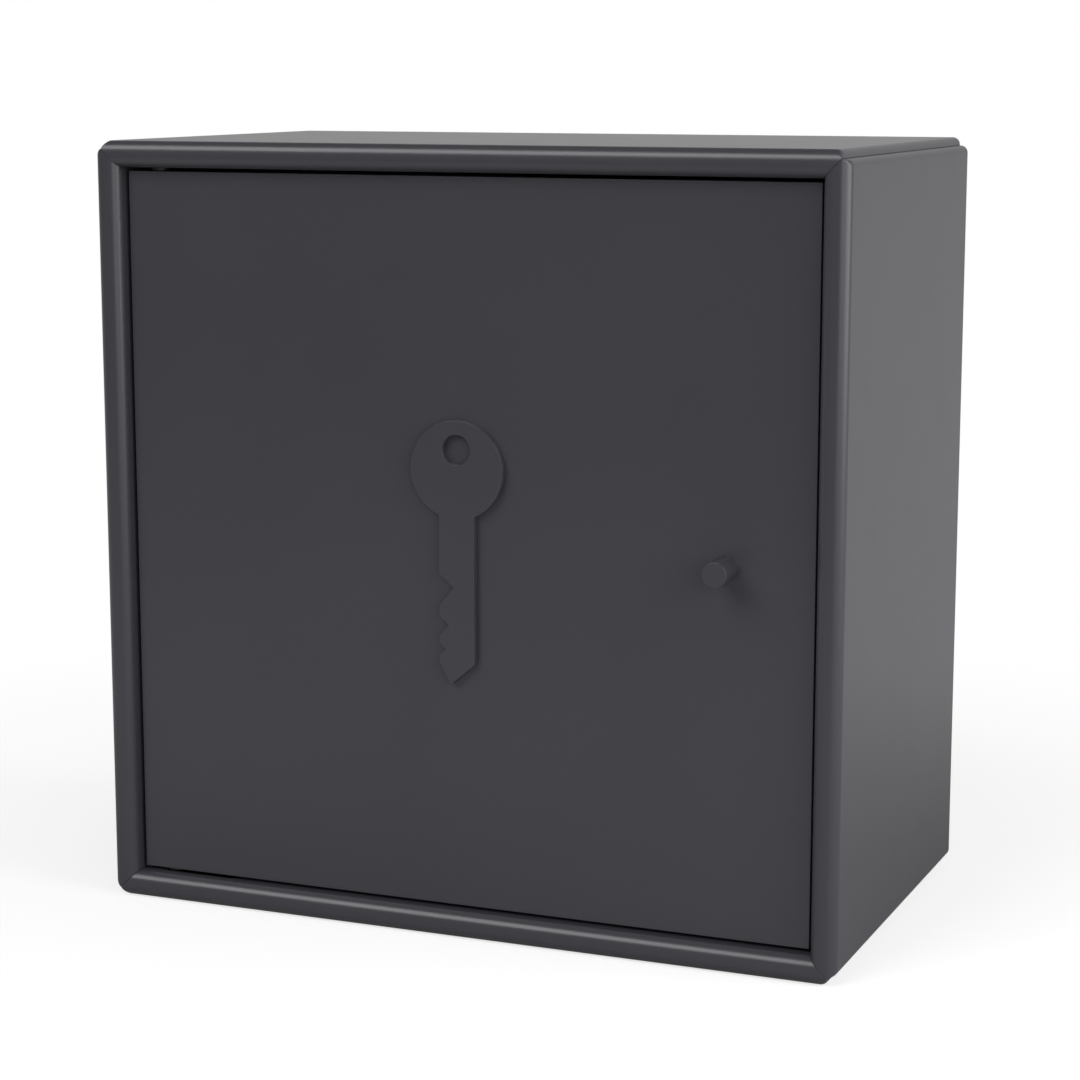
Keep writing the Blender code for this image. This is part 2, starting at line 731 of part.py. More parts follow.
def make_knob(door):
    """A turned peg on the door, held by a machine screw from behind."""
    place = Vector((DOOR_X - KNOB_EDGE_DISTANCE, DOOR_FRONT_Y - GLUE_GAP, HALF_HEIGHT))
    thread = KNOB_SCREW_RADIUS + FIT_GAP
    rim_centre = (KNOB_RADIUS - KNOB_ROUNDING, KNOB_LENGTH - KNOB_ROUNDING)
    profile = [(0, KNOB_LENGTH)] + arc(rim_centre, KNOB_ROUNDING, 90, 0, SMALL_CORNER_STEPS)
    profile += [(KNOB_RADIUS, 0), (thread, 0), (thread, KNOB_THREAD_DEPTH), (0, KNOB_THREAD_DEPTH)]
    knob = place_mesh("door_knob", turned("Knob", profile, FINE_STEPS), place, OUT_OF_FRONT, LACQUER)
    length = DOOR_THICKNESS + KNOB_THREAD_DEPTH - FIT_GAP
    seat = (place.x, DOOR_BACK_Y, place.z)
    screw = drive_screw("knob_screw", KNOB_SCREW, length, seat, OUT_OF_BACK, (door,))
    return [knob, screw]


# Hinges


def leaf_outline(grow):
    """A slot-shaped leaf from the pin axis towards the middle of the door."""
    radius = LEAF_RADIUS + grow
    pin_end = arc((0, 0), radius, 90, 270, CORNER_STEPS)
    far_end = arc((LEAF_REACH, 0), radius, -90, 90, CORNER_STEPS)
    return pin_end + far_end


def make_leaf(name, board, face, inward):
    """A hinge leaf let flush into a board, with its two screws. Face is the board's surface height."""
    sunk = LEAF_THICKNESS + FIT_GAP
    middle = (PIN_X, PIN_Y, face + inward.z * LEAF_THICKNESS / 2)
    pin_hole = circle((0, 0), PIN_RADIUS + PIN_RUNNING_GAP, LATHE_STEPS)
    leaf = prism(name, [leaf_outline(0), pin_hole], LEAF_THICKNESS, middle, ALONG_Z, STEEL)
    mortise_place = (PIN_X, PIN_Y, face + inward.z * (sunk - OVERRUN) / 2)
    cut((board,), prism(name + " mortise", [leaf_outline(FIT_GAP)], sunk + OVERRUN, mortise_place, ALONG_Z))
    screws = []
    for number in (1, 2):
        place = (PIN_X + LEAF_REACH * number / 2, PIN_Y, face)
        label = name + "_screw_" + str(number)
        length = LEAF_THICKNESS + LEAF_SCREW_GRIP
        screws.append(drive_screw(label, SMALL_SCREW, length, place, -inward, (leaf, board)))
    return [leaf] + screws


def make_hinge(level, board, door, board_face, door_face, towards_door):
    """One pivot: a leaf with a pin in the carcass, a washer, and a leaf in the door's edge."""
    carcass = make_leaf("hinge_leaf_" + level + "_carcass", board, board_face, -towards_door)
    moving = make_leaf("hinge_leaf_" + level + "_door", door, door_face, towards_door)
    root = Vector((PIN_X, PIN_Y, board_face)) - towards_door * LEAF_THICKNESS
    length = 2 * LEAF_THICKNESS + DOOR_GAP + PIN_ENGAGEMENT
    crown = PIN_RADIUS / 2
    profile = [(0, length)] + arc((crown, length - crown), crown, 90, 0, SMALL_CORNER_STEPS)
    pin_mesh = turned("Pin", profile + [(PIN_RADIUS, 0), (0, 0)])
    pin = place_mesh("pivot_pin_" + level, pin_mesh, root, towards_door, STEEL)
    tip = root + towards_door * (length + FIT_GAP)
    running_radius = PIN_RADIUS + PIN_RUNNING_GAP
    cut((door,), bore("Pivot bore " + level, running_radius, root, tip))
    ring = [circle((0, 0), WASHER_RADIUS, LATHE_STEPS), circle((0, 0), running_radius, LATHE_STEPS)]
    middle = (PIN_X, PIN_Y, (board_face + door_face) / 2)
    washer = prism("pivot_washer_" + level, ring, DOOR_GAP - 2 * FIT_GAP, middle, ALONG_Z, DARK_PLASTIC)
    return carcass + [pin, washer], moving


# Magnetic catch


def make_catch(side_panel, door):
    """A catch on the side panel behind the door's free edge, at the knob's height, and its strike plate."""
    wall = INNER_X - FIT_GAP
    front = POLE_FRONT_Y + POLE_PROUD
    half = CATCH_BODY_HEIGHT / 2
    ears = CATCH_HEIGHT / 2
    section = rounded([
        (wall, -ears, 0), (wall, ears, 0), (wall - CATCH_EAR_THICKNESS, ears, CATCH_ROUNDING),
        (wall - CATCH_EAR_THICKNESS, half, 0), (wall - CATCH_PROJECTION, half, CATCH_ROUNDING),
        (wall - CATCH_PROJECTION, -half, CATCH_ROUNDING), (wall - CATCH_EAR_THICKNESS, -half, 0),
        (wall - CATCH_EAR_THICKNESS, -ears, CATCH_ROUNDING),
    ], SMALL_CORNER_STEPS)
    middle = (0, front + CATCH_DEPTH / 2, HALF_HEIGHT)
    housing = prism("catch_housing", [section], CATCH_DEPTH, middle, ALONG_Y, DARK_PLASTIC)

    # The pocket holds a pole plate, the magnet and a second pole plate, from left to right
    pole_height = CATCH_BODY_HEIGHT - 2 * CATCH_WALL - 2 * FIT_GAP
    low = HALF_HEIGHT - pole_height / 2
    high = HALF_HEIGHT + pole_height / 2
    left = wall - CATCH_PROJECTION + CATCH_WALL
    magnet_left = left + POLE_THICKNESS + FIT_GAP
    magnet_right = magnet_left + MAGNET_THICKNESS
    right = magnet_right + FIT_GAP + POLE_THICKNESS
    deep = POLE_FRONT_Y + MAGNET_DEPTH
    pocket = block(
        "Catch pocket",
        (left - FIT_GAP, front - OVERRUN, low - FIT_GAP),
        (right + FIT_GAP, deep + FIT_GAP, high + FIT_GAP),
    )
    cut((housing,), pocket)
    pieces = [housing]
    for name, start, end, tip, material in (
        ("catch_pole_left", left, left + POLE_THICKNESS, POLE_FRONT_Y, STEEL),
        ("catch_magnet", magnet_left, magnet_right, POLE_FRONT_Y + MAGNET_SETBACK, FERRITE),
        ("catch_pole_right", right - POLE_THICKNESS, right, POLE_FRONT_Y, STEEL),
    ):
        pieces.append(block(name, (start, tip, low), (end, deep, high), material))
    inward = Vector((-1, 0, 0))
    length = CATCH_EAR_THICKNESS + FIT_GAP + PANEL_THICKNESS - SCREW_COVER
    for level, sign in (("lower", -1), ("upper", 1)):
        height = HALF_HEIGHT + sign * (half + ears) / 2
        place = (wall - CATCH_EAR_THICKNESS, front + CATCH_DEPTH / 2, height)
        boards = (housing, side_panel)
        pieces.append(drive_screw("catch_screw_" + level, PAN_SCREW, length, place, inward, boards))

    # The strike covers both poles
    strike_right = DOOR_X - STRIKE_EDGE_DISTANCE
    strike_left = left - CATCH_WALL
    across = (strike_right - strike_left) / 2
    upright = STRIKE_HEIGHT / 2
    corner = STRIKE_ROUNDING
    outline = rounded([
        (-across, -upright, corner), (across, -upright, corner),
        (across, upright, corner), (-across, upright, corner),
    ], SMALL_CORNER_STEPS)
    strike_front = DOOR_BACK_Y + FIT_GAP
    strike_x = (strike_left + strike_right) / 2
    strike_place = (strike_x, strike_front + STRIKE_THICKNESS / 2, HALF_HEIGHT)
    strike = prism("strike_plate", [outline], STRIKE_THICKNESS, strike_place, ALONG_Y, STEEL)
    length = STRIKE_THICKNESS + FIT_GAP + DOOR_THICKNESS - SCREW_COVER
    seat = (strike_x, strike_front + STRIKE_THICKNESS, HALF_HEIGHT)
    screw = drive_screw("strike_screw", SMALL_SCREW, length, seat, OUT_OF_BACK, (strike, door))
    return pieces, [strike, screw]


# Assembly


def parent_to(name, place, pieces):
    """Hangs pieces on an empty without moving them."""
    empty = bpy.data.objects.new(name, None)
    PARTS.objects.link(empty)
    empty.location = place
    bpy.context.view_layer.update()
    for piece in pieces:
        piece.parent = empty
        piece.matrix_parent_inverse = empty.matrix_world.inverted()


def main():
    panels = make_carcass()
    back = make_back()
    fixed = list(panels.values()) + [back]
    fixed += make_tongues(panels)
    fixed += make_rails(back)
    fixed += make_hangers(panels)
    door = make_door()
    moving = [door, make_emblem()]
    moving += make_knob(door)
    for level, board, board_face, door_face, towards_door in (
        ("lower", panels["bottom"], INNER_BOTTOM, DOOR_BOTTOM, UP),
        ("upper", panels["top"], INNER_TOP, DOOR_TOP, DOWN),
    ):
        carcass_side, door_side = make_hinge(level, board, door, board_face, door_face, towards_door)
        fixed += carcass_side
        moving += door_side
    carcass_side, door_side = make_catch(panels["right"], door)
    fixed += carcass_side
    moving += door_side
    parent_to("carcass", (0, 0, 0), fixed)
    parent_to("door_pivot", (PIN_X, PIN_Y, 0), moving)


main()
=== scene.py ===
import json
import math

import bmesh
import bpy
from mathutils import Matrix, Vector

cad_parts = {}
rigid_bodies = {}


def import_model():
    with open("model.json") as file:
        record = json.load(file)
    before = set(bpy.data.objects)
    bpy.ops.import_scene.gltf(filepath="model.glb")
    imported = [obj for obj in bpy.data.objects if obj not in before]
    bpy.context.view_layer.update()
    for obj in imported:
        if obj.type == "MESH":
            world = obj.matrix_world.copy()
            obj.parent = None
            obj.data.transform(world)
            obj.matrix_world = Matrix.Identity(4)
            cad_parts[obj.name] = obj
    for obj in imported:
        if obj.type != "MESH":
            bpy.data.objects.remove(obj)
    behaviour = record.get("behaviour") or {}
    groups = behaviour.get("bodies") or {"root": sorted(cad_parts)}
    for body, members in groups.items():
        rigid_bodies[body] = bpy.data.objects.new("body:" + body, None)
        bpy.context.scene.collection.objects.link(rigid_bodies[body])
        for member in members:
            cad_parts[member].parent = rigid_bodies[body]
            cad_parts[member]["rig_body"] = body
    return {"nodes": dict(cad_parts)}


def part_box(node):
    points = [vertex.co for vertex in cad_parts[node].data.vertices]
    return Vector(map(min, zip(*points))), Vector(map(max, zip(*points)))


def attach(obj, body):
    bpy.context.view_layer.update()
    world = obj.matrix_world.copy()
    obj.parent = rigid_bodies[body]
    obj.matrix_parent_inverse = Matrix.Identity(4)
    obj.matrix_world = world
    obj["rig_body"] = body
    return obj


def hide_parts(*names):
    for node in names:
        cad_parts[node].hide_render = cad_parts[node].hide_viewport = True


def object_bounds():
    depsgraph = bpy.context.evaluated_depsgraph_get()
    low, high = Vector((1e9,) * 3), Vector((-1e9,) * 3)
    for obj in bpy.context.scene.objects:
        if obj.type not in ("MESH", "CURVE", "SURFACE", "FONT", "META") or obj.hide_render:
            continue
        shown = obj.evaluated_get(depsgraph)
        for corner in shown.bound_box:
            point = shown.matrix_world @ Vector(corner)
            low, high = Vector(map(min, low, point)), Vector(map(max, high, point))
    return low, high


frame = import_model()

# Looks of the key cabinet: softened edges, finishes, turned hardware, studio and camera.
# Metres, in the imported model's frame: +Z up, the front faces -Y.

cad_low, cad_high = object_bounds()

# Camera, solved from the photograph
CAMERA_PLACE = (0.47884, -1.16329, 0.38750)
CAMERA_TILT = math.radians(90 - 9.98)
CAMERA_TURN = math.radians(22.356)
CAMERA_LENS_MM = 89.98
CAMERA_SENSOR_MM = 36

# Small edge radii
BOARD_ARRIS = 0.00018
PLATE_ARRIS = 0.00015
MOULDED_ARRIS = 0.00030
FINE_ARRIS = 0.00012
EMBLEM_ARRIS = 0.00016
KNOB_ROUNDING = 0.00020
RAIL_ROUNDING = 0.0020
PIN_ROUNDING = 0.00100

# Turned hooks
HOOKS_PER_RAIL = 5
HOOK_STEM_RADIUS = 0.0021
HOOK_NECK_LENGTH = 0.0034
HOOK_COLLAR_THICKNESS = 0.0014
HOOK_COLLAR_ROUNDING = 0.0004
HOOK_TENON_LENGTH = 0.008
HOOK_TENON_RADIUS = 0.0025
HOOK_SEAT_GAP = 0.0003
HOOK_HEAD_SHARE = 0.889  # the domed head's radius, of the collar's
HOOK_HEAD_END = -35  # where the head's arc ends, in degrees below its widest point

# Key-shaped plate
EMBLEM_HOLE_RADIUS = 0.0067
EMBLEM_HOLE_RISE = 0.0090
EMBLEM_SHANK_WIDTH = 0.0169
EMBLEM_SHOULDER_SHARE = 0.898
EMBLEM_TIP_SHARE = -0.19
# Each notch: where it starts, is deepest and ends along the blade, and its depth across the shank
EMBLEM_NOTCH_SHARES = (
    (0.481, 0.546, 0.628, 0.41),
    (0.679, 0.721, 0.770, 0.26),
    (0.804, 0.836, 0.863, 0.17),
)

# Screws
SCREW_HEAD_SHARE = 0.60  # a countersunk head's height, of its radius
SCREW_SHANK_SHARE = 0.48  # the shank's radius, of the head's
RECESS_WIDTH_SHARE = 0.34  # of the head's radius
RECESS_REACH_SHARE = 0.58
RECESS_DEPTH_SHARE = 0.38
RECESS_TAPER_SHARE = 0.45
PAN_HEIGHT_SHARE = 0.59
PAN_RIM_SHARE = 0.55  # a domed head's rounding, of its height

# Facets
TURNED_STEPS = 40
BOW_STEPS = 120
HOLE_STEPS = 64
ROUNDING_STEPS = 5
ARRIS_STEPS = 2
HEAD_STEPS = 14
RIM_STEPS = 6
COLLAR_STEPS = 4
FLOOR_STEPS = 96
EDGE_SAMPLES = 6
NORMAL_WEIGHT = 100
SHARP_ANGLE = math.radians(32)
FLAT_ANGLE = math.radians(0.4)
WELD_DISTANCE = 0.000004

# Studio
FLOOR_DROP = 0.0002
FLOOR_RADIUS = 9.0
FLOOR_TONE = 0.42
FLOOR_FADE_START = 0.22
FLOOR_FADE_END = 0.60
FLOOR_GLOW = 0.66
WORLD_STRENGTH = 0.13
MIRRORED_FRONT_SHARE = 0.05  # how bright the far floor shows in reflections, in front and behind
MIRRORED_BACK_SHARE = 0.56
MIRRORED_FAR = -1.9
MIRRORED_NEAR = -0.4
BACKDROP_LOW = 0.30
BACKDROP_HIGH = 0.60
BACKDROP_NEAR = 0.25
BACKDROP_FAR = 0.75
BACKDROP_LEFT = -0.20
BACKDROP_RIGHT = 0.45
BACKDROP_LEVEL = 0.68
BACKDROP_RIGHT_SHARE = 0.45  # the backdrop's level on the right, of that on the left
# Each lamp: its place, width, height and radiance, where 1 is as bright as the white background
LAMPS = {
    "key_softbox": ((-1.31, -2.43, 2.49), 2.5, 2.2, 4.7),
    "right_softbox": ((1.60, -0.05, 0.76), 1.50, 1.55, 3.6),
    "fill_softbox": ((1.50, -1.80, 0.70), 2.05, 1.70, 2.0),
}

NODES = frame["nodes"]


# Materials


def new_tree(name):
    """An empty node tree with an output and a Principled BSDF joined to it."""
    material = bpy.data.materials.new(name)
    material.use_nodes = True
    tree = material.node_tree
    tree.nodes.clear()
    output = tree.nodes.new("ShaderNodeOutputMaterial")
    shader = tree.nodes.new("ShaderNodeBsdfPrincipled")
    tree.links.new(shader.outputs["BSDF"], output.inputs["Surface"])
    return material, tree, shader


def coordinates(tree, stretch=(1, 1, 1)):
    """Object coordinates in metres, stretched along each axis."""
    source = tree.nodes.new("ShaderNodeTexCoord")
    mapping = tree.nodes.new("ShaderNodeMapping")
    mapping.inputs["Scale"].default_value = stretch
    tree.links.new(source.outputs["Object"], mapping.inputs["Vector"])
    return mapping.outputs["Vector"]


def noise(tree, vector, grain, detail=2.0, roughness=0.5):
    """Noise whose features are about as wide as grain, in metres."""
    node = tree.nodes.new("ShaderNodeTexNoise")
    node.inputs["Scale"].default_value = 1 / grain
    node.inputs["Detail"].default_value = detail
    node.inputs["Roughness"].default_value = roughness
    tree.links.new(vector, node.inputs["Vector"])
    return node.outputs["Fac"]


def remap(tree, value, low, high, start=0.3, end=0.7):
    """A value from start to end carried to the range from low to high."""
    node = tree.nodes.new("ShaderNodeMapRange")
    node.inputs["From Min"].default_value = start
    node.inputs["From Max"].default_value = end
    node.inputs["To Min"].default_value = low
    node.inputs["To Max"].default_value = high
    tree.links.new(value, node.inputs["Value"])
    return node.outputs["Result"]


def mixed(tree, share, first, second):
    """A colour that goes from the first to the second with a share."""
    node = tree.nodes.new("ShaderNodeMix")
    node.data_type = "RGBA"
    inputs = [socket for socket in node.inputs if socket.type == "RGBA"]
    for socket, colour in zip(inputs, (first, second)):
        if isinstance(colour, bpy.types.NodeSocket):
            tree.links.new(colour, socket)
        else:
            socket.default_value = (*colour, 1)
    tree.links.new(share, node.inputs["Factor"])
    return next(socket for socket in node.outputs if socket.type == "RGBA")


def math_node(tree, operation, first, second):
    """The result of a sum or a comparison of two values."""
    node = tree.nodes.new("ShaderNodeMath")
    node.operation = operation
    for socket, value in zip(node.inputs, (first, second)):
        if isinstance(value, bpy.types.NodeSocket):
            tree.links.new(value, socket)
        else:
            socket.default_value = value
    return node.outputs["Value"]


def edge_share(tree, radius):
    """How near a point is to an outer edge: 0 on flat faces, rising towards an arris."""
    bevel = tree.nodes.new("ShaderNodeBevel")
    bevel.samples = EDGE_SAMPLES
    bevel.inputs["Radius"].default_value = radius
    geometry = tree.nodes.new("ShaderNodeNewGeometry")
    dot = tree.nodes.new("ShaderNodeVectorMath")
    dot.operation = "DOT_PRODUCT"
    tree.links.new(bevel.outputs["Normal"], dot.inputs[0])
    tree.links.new(geometry.outputs["Normal"], dot.inputs[1])
    return remap(tree, dot.outputs["Value"], 1.0, 0.0, EDGE_WORN_COSINE, EDGE_FLAT_COSINE)


def bumped(tree, shader, layers):
    """Joins bump layers, each a height value and its real depth in metres."""
    normal = None
    for height, depth in layers:
        bump = tree.nodes.new("ShaderNodeBump")
        bump.inputs["Strength"].default_value = 1.0
        bump.inputs["Distance"].default_value = depth
        tree.links.new(height, bump.inputs["Height"])
        if normal is not None:
            tree.links.new(normal, bump.inputs["Normal"])
        normal = bump.outputs["Normal"]
    tree.links.new(normal, shader.inputs["Normal"])


LACQUER_COLOUR = (0.0425, 0.0407, 0.0487)
LACQUER_PALE = (0.0447, 0.0428, 0.0512)
LACQUER_WORN = (0.0520, 0.0500, 0.0580)
LACQUER_CLOUD = 0.085
LACQUER_PEEL = 0.0011
LACQUER_PEEL_DEPTH = 0.0000045
LACQUER_GRAIN = 0.00028
LACQUER_GRAIN_DEPTH = 0.0000015
LACQUER_EDGE = 0.0006
LACQUER_ROUGHNESS = (0.297, 0.312)
EDGE_WORN_COSINE = 0.86  # between the face and the rounded normal, where an arris is fully worn
EDGE_FLAT_COSINE = 0.995


def make_lacquer():
    """Satin sprayed lacquer: faint clouding, orange peel, and arrises rubbed a little paler."""
    material, tree, shader = new_tree("anthracite_lacquer_finish")
    place = coordinates(tree)
    cloud = noise(tree, place, LACQUER_CLOUD, 3.0)
    peel = noise(tree, place, LACQUER_PEEL, 1.5)
    grain = noise(tree, place, LACQUER_GRAIN, 2.0, 0.6)
    colour = mixed(tree, remap(tree, cloud, 0.0, 1.0), LACQUER_COLOUR, LACQUER_PALE)
    patchy = remap(tree, noise(tree, place, LACQUER_CLOUD / 9, 3.0), 0.15, 0.60)
    worn = math_node(tree, "MULTIPLY", edge_share(tree, LACQUER_EDGE), patchy)
    tree.links.new(mixed(tree, worn, colour, LACQUER_WORN), shader.inputs["Base Color"])
    handled = remap(tree, noise(tree, place, LACQUER_CLOUD / 3, 4.0, 0.6), *LACQUER_ROUGHNESS)
    tree.links.new(handled, shader.inputs["Roughness"])
    bumped(tree, shader, ((peel, LACQUER_PEEL_DEPTH), (grain, LACQUER_GRAIN_DEPTH)))
    return material


STEEL_COLOUR = (0.54, 0.55, 0.57)
STEEL_PALE = (0.66, 0.67, 0.69)
STEEL_SPANGLE = 0.0035
STEEL_SCRATCH = 0.0006
STEEL_SCRATCH_DEPTH = 0.0000025
STEEL_STRETCH = (1, 1, 0.12)
STEEL_ROUGHNESS = (0.26, 0.40)
BLACK_ZINC_COLOUR = (0.008, 0.008, 0.009)
BLACK_ZINC_PALE = (0.016, 0.016, 0.018)


def make_steel(name, dark, pale):
    """Zinc plating on pressed steel: soft spangle and short random tumbling marks."""
    material, tree, shader = new_tree(name)
    shader.inputs["Metallic"].default_value = 1.0
    place = coordinates(tree)
    spangle = noise(tree, place, STEEL_SPANGLE, 3.0, 0.6)
    marks = noise(tree, coordinates(tree, STEEL_STRETCH), STEEL_SCRATCH, 3.0, 0.7)
    colour = mixed(tree, remap(tree, spangle, 0.0, 1.0), dark, pale)
    tree.links.new(colour, shader.inputs["Base Color"])
    tree.links.new(remap(tree, spangle, *STEEL_ROUGHNESS), shader.inputs["Roughness"])
    bumped(tree, shader, ((marks, STEEL_SCRATCH_DEPTH),))
    return material


NICKEL_COLOUR = (0.58, 0.55, 0.50)
NICKEL_PALE = (0.68, 0.65, 0.60)
NICKEL_CLOUD = 0.006
NICKEL_RING = 0.00035
NICKEL_RING_DEPTH = 0.0000025
NICKEL_STRETCH = (0.05, 1, 0.05)
NICKEL_ROUGHNESS = (0.24, 0.33)


def make_nickel():
    """Satin nickel on turned brass: fine rings round the turning axis, which runs along Y."""
    material, tree, shader = new_tree("satin_nickel_finish")
    shader.inputs["Metallic"].default_value = 1.0
    cloud = noise(tree, coordinates(tree), NICKEL_CLOUD, 3.0)
    rings = noise(tree, coordinates(tree, NICKEL_STRETCH), NICKEL_RING, 2.0, 0.7)
    colour = mixed(tree, remap(tree, cloud, 0.0, 1.0), NICKEL_COLOUR, NICKEL_PALE)
    tree.links.new(colour, shader.inputs["Base Color"])
    tree.links.new(remap(tree, cloud, *NICKEL_ROUGHNESS), shader.inputs["Roughness"])
    bumped(tree, shader, ((rings, NICKEL_RING_DEPTH),))
    return material


BOARD_COLOUR = (0.34, 0.225, 0.130)
BOARD_PALE = (0.50, 0.360, 0.225)
BOARD_FIBRE = 0.0004
BOARD_FIBRE_DEPTH = 0.00003
BOARD_STRETCH = (1, 0.25, 1)
BOARD_ROUGHNESS = (0.78, 0.92)


def make_board():
    """Raw fibreboard: fine matted fibres."""
    material, tree, shader = new_tree("raw_fibreboard_finish")
    fibre = noise(tree, coordinates(tree, BOARD_STRETCH), BOARD_FIBRE, 4.0, 0.7)
    colour = mixed(tree, remap(tree, fibre, 0.0, 1.0), BOARD_COLOUR, BOARD_PALE)
    tree.links.new(colour, shader.inputs["Base Color"])
    tree.links.new(remap(tree, fibre, *BOARD_ROUGHNESS), shader.inputs["Roughness"])
    bumped(tree, shader, ((fibre, BOARD_FIBRE_DEPTH),))
    return material


FERRITE_COLOUR = (0.040, 0.040, 0.043)
FERRITE_PALE = (0.075, 0.074, 0.076)
FERRITE_GRAIN = 0.0003
FERRITE_GRAIN_DEPTH = 0.00001
FERRITE_ROUGHNESS = (0.55, 0.70)


def make_ferrite():
    """A sintered ceramic magnet: matt grey-black with a fine speckle."""
    material, tree, shader = new_tree("ferrite_finish")
    grain = noise(tree, coordinates(tree), FERRITE_GRAIN, 3.0, 0.7)
    colour = mixed(tree, remap(tree, grain, 0.0, 1.0), FERRITE_COLOUR, FERRITE_PALE)
    tree.links.new(colour, shader.inputs["Base Color"])
    tree.links.new(remap(tree, grain, *FERRITE_ROUGHNESS), shader.inputs["Roughness"])
    bumped(tree, shader, ((grain, FERRITE_GRAIN_DEPTH),))
    return material


PLASTIC_COLOUR = (0.028, 0.028, 0.031)
PLASTIC_PALE = (0.038, 0.038, 0.041)
PLASTIC_GRAIN = 0.00022
PLASTIC_GRAIN_DEPTH = 0.000008
PLASTIC_FLOW = 0.0088
PLASTIC_ROUGHNESS = (0.44, 0.56)


def make_plastic():
    """Moulded plastic with a fine spark-eroded grain."""
    material, tree, shader = new_tree("dark_plastic_finish")
    place = coordinates(tree)
    grain = noise(tree, place, PLASTIC_GRAIN, 2.0)
    flow = noise(tree, place, PLASTIC_FLOW, 3.0)
    colour = mixed(tree, remap(tree, flow, 0.0, 1.0), PLASTIC_COLOUR, PLASTIC_PALE)
    tree.links.new(colour, shader.inputs["Base Color"])
    tree.links.new(remap(tree, grain, *PLASTIC_ROUGHNESS), shader.inputs["Roughness"])
    bumped(tree, shader, ((grain, PLASTIC_GRAIN_DEPTH),))
    return material


FINISHES = {
    "anthracite_lacquer": make_lacquer(),
    "zinc_plated_steel": make_steel("zinc_plated_steel_finish", STEEL_COLOUR, STEEL_PALE),
    "satin_nickel": make_nickel(),
    "raw_fibreboard": make_board(),
    "ferrite": make_ferrite(),
    "dark_plastic": make_plastic(),
}
# The hinges' plating is passivated black, as no bright metal shows in the gaps round the door
BLACK_ZINC = make_steel("black_zinc_finish", BLACK_ZINC_COLOUR, BLACK_ZINC_PALE)


def finish_of(node, slot_name):
    """The finish of a node: its slot's, and black plating on the steel of the hinges."""
    if node.startswith(("hinge_", "pivot_pin_")):
        return BLACK_ZINC
    return FINISHES[slot_name]


# CAD nodes that stay


def weighted(piece):
    """The piece, with flat faces that stay flat beside their roundings."""
    shading = piece.modifiers.new("Flat faces stay flat", "WEIGHTED_NORMAL")
    shading.keep_sharp = True
    shading.weight = NORMAL_WEIGHT
    return piece


def soften(name, width):
    """Gives a CAD node its finish, smooth roundings and a small radius on each sharp edge."""
    node = NODES[name]
    mesh = node.data
    if "custom_normal" in mesh.attributes:
        mesh.attributes.remove(mesh.attributes["custom_normal"])
    mesh.shade_smooth()
    slot = node.material_slots[0]
    slot.material = finish_of(name, slot.material.name.split(".")[0])
    weld = node.modifiers.new("Join corners", "WELD")
    weld.merge_threshold = WELD_DISTANCE
    flat = node.modifiers.new("Whole faces", "DECIMATE")
    flat.decimate_type = "DISSOLVE"
    flat.angle_limit = FLAT_ANGLE
    bevel = node.modifiers.new("Arrises", "BEVEL")
    bevel.width = width
    bevel.segments = ARRIS_STEPS
    bevel.limit_method = "ANGLE"
    bevel.angle_limit = SHARP_ANGLE
    bevel.harden_normals = False
    weighted(node)


ARRISES = {
    "top_panel": BOARD_ARRIS,
    "bottom_panel": BOARD_ARRIS,
    "left_side_panel": BOARD_ARRIS,
    "right_side_panel": BOARD_ARRIS,
    "back_panel": BOARD_ARRIS,
    "door_panel": BOARD_ARRIS,
    "mitre_tongue_bottom_left": BOARD_ARRIS,
    "mitre_tongue_bottom_right": BOARD_ARRIS,
    "mitre_tongue_top_left": BOARD_ARRIS,
    "mitre_tongue_top_right": BOARD_ARRIS,
    "catch_housing": MOULDED_ARRIS,
    "catch_magnet": FINE_ARRIS,
    "catch_pole_left": PLATE_ARRIS,
    "catch_pole_right": PLATE_ARRIS,
    "strike_plate": PLATE_ARRIS,
    "wall_hanger_left": PLATE_ARRIS,
    "wall_hanger_right": PLATE_ARRIS,
    "hinge_leaf_lower_carcass": PLATE_ARRIS,
    "hinge_leaf_lower_door": PLATE_ARRIS,
    "hinge_leaf_upper_carcass": PLATE_ARRIS,
    "hinge_leaf_upper_door": PLATE_ARRIS,
    "pivot_washer_lower": FINE_ARRIS,
    "pivot_washer_upper": FINE_ARRIS,
}
for node_name, arris in ARRISES.items():
    soften(node_name, arris)


# Finer pieces that stand for CAD nodes


def add_piece(name, mesh, node, slot_name):
    """An object that shows a mesh in place of a CAD node, on that node's body."""
    piece = bpy.data.objects.new(name, mesh)
    bpy.context.scene.collection.objects.link(piece)
    mesh.materials.clear()
    mesh.materials.append(finish_of(node, slot_name))
    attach(piece, NODES[node]["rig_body"])
    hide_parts(node)
    return piece


def shaded(mesh):
    """The mesh, smooth but for its sharp edges."""
    mesh.shade_smooth()
    mesh.set_sharp_from_angle(angle=SHARP_ANGLE)
    return mesh


def arc(centre, radius, start, end, steps):
    """Points of an arc in a plane; angles are in degrees."""
    points = []
    for step in range(steps + 1):
        angle = math.radians(start + (end - start) * step / steps)
        points.append((centre[0] + radius * math.cos(angle), centre[1] + radius * math.sin(angle)))
    return points


def turned(name, profile, steps=TURNED_STEPS):
    """A turned mesh from a (radius, height) profile that runs from the axis's top down the outside."""
    mesh = bpy.data.meshes.new(name)
    shape = bmesh.new()
    verts = [shape.verts.new((radius, 0, height)) for radius, height in profile]
    edges = [shape.edges.new(pair) for pair in zip(verts, verts[1:])]
    bmesh.ops.spin(
        shape, geom=verts + edges, cent=(0, 0, 0), axis=(0, 0, 1), angle=math.tau, steps=steps, use_merge=True
    )
    bmesh.ops.remove_doubles(shape, verts=shape.verts, dist=WELD_DISTANCE)
    bmesh.ops.recalc_face_normals(shape, faces=shape.faces)
    shape.to_mesh(mesh)
    shape.free()
    return shaded(mesh)


